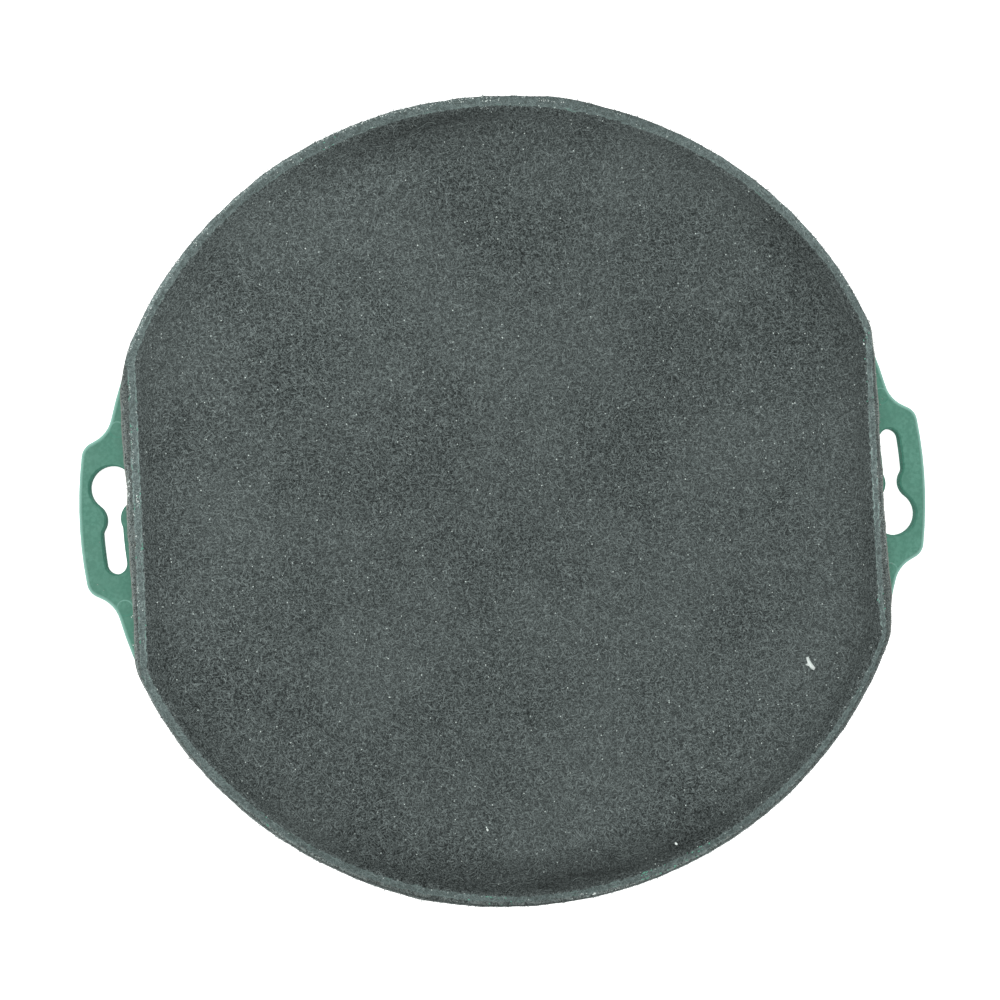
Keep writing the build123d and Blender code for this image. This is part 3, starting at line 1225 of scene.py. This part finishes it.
                self.grain(form, place, size * draw.uniform(0.6, 1.2), 1, draw.uniform(1.0, 1.8),
                           draw.uniform(0, math.pi))
        return dressed(form, "dust_flecks", material)

    def ear_dust(self, material: Material) -> Piece:
        """Makes the fine specks on the ears.

        Args:
            material: Their material.

        Returns:
            The piece.
        """
        draw = random.Random(self.seed + 1)
        form = bmesh.new()
        for x, y, size in self.ear_specks:
            self.grain(form, (x, y, self.flange_top + size / 3), size, 2, 1.3, draw.uniform(0, 3))
        return dressed(form, "ear_dust", material)

    def beads(self, material: Material) -> Piece:
        """Makes the beads of melted plastic that came up through the weld.

        Args:
            material: Their material.

        Returns:
            The piece.
        """
        draw = random.Random(self.seed + 2)
        form = bmesh.new()
        height = self.felt.base + self.felt.weld_height + 0.02
        for x, y, count in self.plastic_spots:
            for _ in range(count):
                angle = math.atan2(y, x) + draw.gauss(0, 0.02)
                inset = draw.choice((draw.gauss(0.2, 0.15), draw.gauss(1.75, 0.12), draw.uniform(0.2, 1.7)))
                place = (*around(angle, self.felt.outline.reach(angle, inset)), height)
                self.grain(form, place, draw.uniform(0.07, 0.15), 2, draw.uniform(1.2, 3.0),
                           angle + math.pi / 2 + draw.gauss(0, 0.3))
        return dressed(form, "weld_flash", material)


@dataclass
class InnerFleece:
    """The fleece under the granules, which sags a little into the grille's gaps, in millimetres.

    low is the height of the grille's upper face and high that of the fleece's. inset and ledge_inset
    start at the wall's outer face. Outside branch_ring a further spoke runs between each pair.
    """

    outline: TrayOutline
    low: float
    high: float
    inset: float = 2.0
    hub_radius: float = 11.0
    ring_pitch: float = 13.517
    ring_half_width: float = 0.8
    spoke_half_width: float = 1.0
    spoke_count: int = 12
    branch_ring: int = 3
    ledge_inset: float = 4.8
    sag: float = 0.55
    steps: int = 288

    def gap_depth(self, x: float, y: float) -> float:
        """Measures how far a point lies from the nearest bar of the grille.

        Args:
            x: Place along the ears' line.
            y: Place along the flats.

        Returns:
            The distance. Less than 0 is on a bar.
        """
        radius, angle = math.hypot(x, y), math.atan2(y, x)
        ring = (radius - self.hub_radius) / self.ring_pitch
        from_ring = abs(ring - round(ring)) * self.ring_pitch - self.ring_half_width
        pitch = 2 * math.pi / (self.spoke_count * (2 if ring > self.branch_ring else 1))
        turn = abs(angle / pitch - round(angle / pitch)) * pitch
        from_spoke = radius * math.sin(turn) - self.spoke_half_width
        from_ledge = self.outline.inset_of(x, y) - self.ledge_inset
        return min(from_ring, from_spoke, from_ledge, radius - self.hub_radius)

    def build(self, material: Material) -> Piece:
        """Makes the fleece as one closed sheet.

        Args:
            material: The fleece's material.

        Returns:
            The piece, which stands for the plain fleece.
        """
        radius, thickness = self.outline.radius, self.high - self.low
        section = [(inset, thickness) for inset in spaced(radius, self.inset, 4.0)]
        section += [(self.inset, thickness), (self.inset, 0.0)]
        section += [(inset, 0.0) for inset in reversed(spaced(radius, self.inset, 1.35))]
        form = lathe([(max(radius - inset, 0.0), height) for inset, height in section], self.steps)
        for vertex in form.verts:
            angle = math.atan2(vertex.co.y, vertex.co.x)
            inset = radius - math.hypot(vertex.co.x, vertex.co.y)
            x, y = around(angle, self.outline.reach(angle, inset))
            height = self.low + vertex.co.z
            if vertex.co.z < 0.01:
                wave = 0.8 + 0.4 * rough(x, y, 9, 4.0)
                height -= self.sag * wave * smooth_step(0.2, 4.5, self.gap_depth(x, y))
            vertex.co = (x, y, height)
        piece = dressed(form, "grille_fleece", material)
        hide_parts("inner_fleece")
        return piece

    def flat_area(self, share: float = 0.83) -> float:
        """The fleece's cut area in square metres, as a share of its box."""
        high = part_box("inner_fleece")[1]
        return share * 4 * high.x * high.y


@dataclass
class Studio:
    """The plain white ground, soft light and the camera above the filter.

    ear_height, distance and sensor are in millimetres, other lengths in metres. distance starts at the
    ears' plane, whose middle shows at centre_px. roll, pitch and yaw turn the filter in the picture, in
    radians. floor_glow is light of the ground's own that only the camera sees.
    """

    ear_height: float
    lens: float = 57.87
    sensor: float = 36.0
    distance: float = 400.0
    roll: float = 0.0474515
    pitch: float = -0.0173927
    yaw: float = 0.0437243
    image_size: float = 1000.0
    centre_px: tuple[float, float] = (507.23, 500.72)
    floor_half: float = 3.0
    floor_drop: float = 0.0002
    floor_grey: Colour = (0.8, 0.8, 0.8)
    floor_glow: float = 0.75
    light_side: float = 1.1
    light_place: Point = (-0.12, 0.2, 1.6)
    light_power: float = 21.7
    sky: float = 0.5

    def camera(self) -> None:
        """Makes the camera and sets it as the scene's own."""
        data = bpy.data.cameras.new("camera")
        data.lens = self.lens
        data.sensor_width = self.sensor
        data.clip_start = 0.01
        camera = linked("camera", data)
        turn = Matrix.Rotation(-self.yaw, 3, "Y") @ Matrix.Rotation(-self.pitch, 3, "X")
        turn = turn @ Matrix.Rotation(-self.roll, 3, "Z")
        focal_px = self.lens / self.sensor * self.image_size
        across, down = ((place - self.image_size / 2) / focal_px for place in self.centre_px)
        target = self.distance * MM * Vector((across, -down, -1.0))
        place = Vector((0, 0, self.ear_height * MM)) - turn @ target
        camera.matrix_world = Matrix.Translation(place) @ turn.to_4x4()
        bpy.context.scene.camera = camera

    def light(self) -> None:
        """Makes the soft lamp overhead and the even sky, which looks white to the camera."""
        data = bpy.data.lights.new("overhead", "AREA")
        data.size = self.light_side
        data.energy = self.light_power
        aim = Vector(self.light_place)
        lamp = linked("overhead", data)
        lamp.matrix_world = Matrix.Translation(aim) @ aim.to_track_quat("Z", "Y").to_matrix().to_4x4()
        world = bpy.data.worlds.new("sky")
        bpy.context.scene.world = world
        sky = Graph(world, "OutputWorld")
        rays = sky.node("LightPath").outputs
        seen = sky.join(Blend.MAXIMUM, rays["Is Camera Ray"], rays["Is Transmission Ray"])
        back = sky.node("Background", {"Strength": sky.remap(seen, 0.0, 1.0, self.sky, ends="LINEAR")})
        sky.put(sky.output.inputs["Surface"], back.outputs["Background"])

    def floor(self) -> None:
        """Makes the white ground, which shows white and keeps a faint shadow."""
        form = bmesh.new()
        bmesh.ops.create_grid(form, x_segments=1, y_segments=1, size=self.floor_half)
        bmesh.ops.translate(form, vec=(0, 0, -self.floor_drop), verts=form.verts[:])
        ground = linked("ground", mesh_of(form, "ground", 1.0))
        material = bpy.data.materials.new("ground")
        surface = Graph(material, "OutputMaterial")
        diffuse = surface.node("BsdfDiffuse", {"Color": self.floor_grey}).outputs[0]
        strength = surface.times(surface.node("LightPath").outputs["Is Camera Ray"], self.floor_glow)
        glow = surface.node("Emission", {"Strength": strength}).outputs[0]
        both = surface.node("AddShader", {0: diffuse, 1: glow}).outputs[0]
        surface.put(surface.output.inputs["Surface"], both)
        ground.data.materials.append(material)
        ground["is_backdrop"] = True

    def build(self) -> None:
        """Sets up the whole studio."""
        bpy.context.scene.view_settings.view_transform = "Standard"
        self.camera()
        self.light()
        self.floor()


def dress_node(name: str, make: Callable[[], Material]) -> None:
    """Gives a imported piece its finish.

    Args:
        name: The piece's name.
        make: Makes the material.
    """
    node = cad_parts[name]
    node.data.materials.clear()
    node.data.materials.append(make())
    log.info("%s: dressed as packed", name)


def main() -> None:
    """Builds every piece in order."""
    logging.basicConfig(level=logging.INFO)
    felt_low, felt_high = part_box("cover_felt")
    fleece_low, fleece_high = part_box("inner_fleece")
    flange_top = fleece_low.z / MM
    margin = CoverFelt.nominal_margin
    outline = TrayOutline(felt_high.y / MM - margin, felt_high.x / MM - margin)
    Studio(flange_top).build()
    dress_node("moulded_frame", PlasticFinish(fleece_low.z).build)
    dress_node("carbon_bed", GranuleFinish().build)

    felt = CoverFelt(outline, felt_low.z / MM, (felt_high.z - felt_low.z) / MM)
    cover = felt.build(FeltFinish().build())
    inner_fleece = InnerFleece(outline, flange_top, fleece_high.z / MM)
    fleece = inner_fleece.build(FleeceFinish().build())

    litter = Litter(felt, flange_top)
    white = PlainFinish("white_dust", from_screen(238, 246, 243), from_screen(200, 214, 208), 0.8).build()
    grey = PlainFinish("ear_dust", from_screen(170, 178, 170), from_screen(130, 140, 132), 0.85).build()
    green = PlainFinish("melted_plastic", from_screen(112, 178, 156), from_screen(84, 146, 124), 0.3).build()
    extras = [litter.flecks(white), litter.beads(green)]
    litter.ear_dust(grey)
    pale = PlainFinish("loose_fibre", from_screen(132, 144, 141), from_screen(98, 108, 106), 0.7).build()
    fibres = LooseFibres(felt)
    extras.append(fibres.build("felt_fibres", fibres.field(), pale))
    extras.append(fibres.build("edge_fibres", fibres.fringe(), pale))

    felt.flat_area()
    inner_fleece.flat_area()
    boxes = {"cad": CAD_BOX, "visual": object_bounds()}
    {name: [list(corner) for corner in box] for name, box in boxes.items()}


if __name__ == "__main__":
    main()
